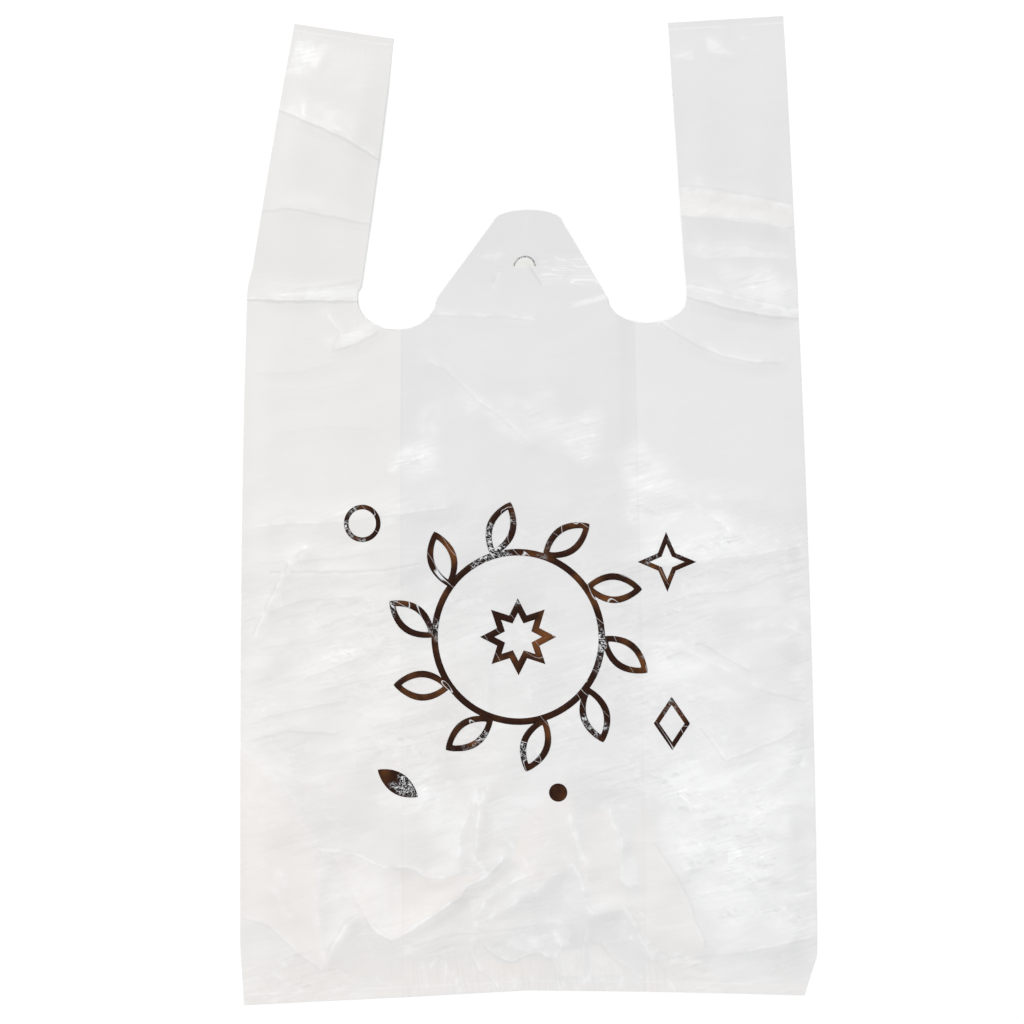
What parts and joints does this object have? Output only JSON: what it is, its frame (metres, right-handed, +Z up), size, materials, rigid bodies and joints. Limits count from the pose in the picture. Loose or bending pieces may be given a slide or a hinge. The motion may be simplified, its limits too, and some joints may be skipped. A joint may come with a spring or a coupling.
{
  "type": "plastic carrier bag",
  "caption": "Gusseted carrier bag of thin milky film with loop handles and a hanging tab, for carrying shopping, empty and lying flat, with a dark wreath on its front.",
  "frame": {"origin": "middle of the bag's outline, on the surface that its back lies on", "axes": "+X across the bag to the right of its printed front, +Y from the bottom weld towards the handles, +Z up out of the front"},
  "size_m": [0.2998, 0.5146, 0.0058],
  "materials": {
    "film": "milky thin film with a soft sheen",
    "ink": "dark brown printing ink"
  },
  "bodies": {
    "root": {"bag_film": "film", "print_wreath": "ink", "print_sun": "ink", "print_star": "ink", "print_hoop": "ink", "print_sprig": "ink", "print_dot": "ink", "print_diamond": "ink"}
  },
  "joints": []
}
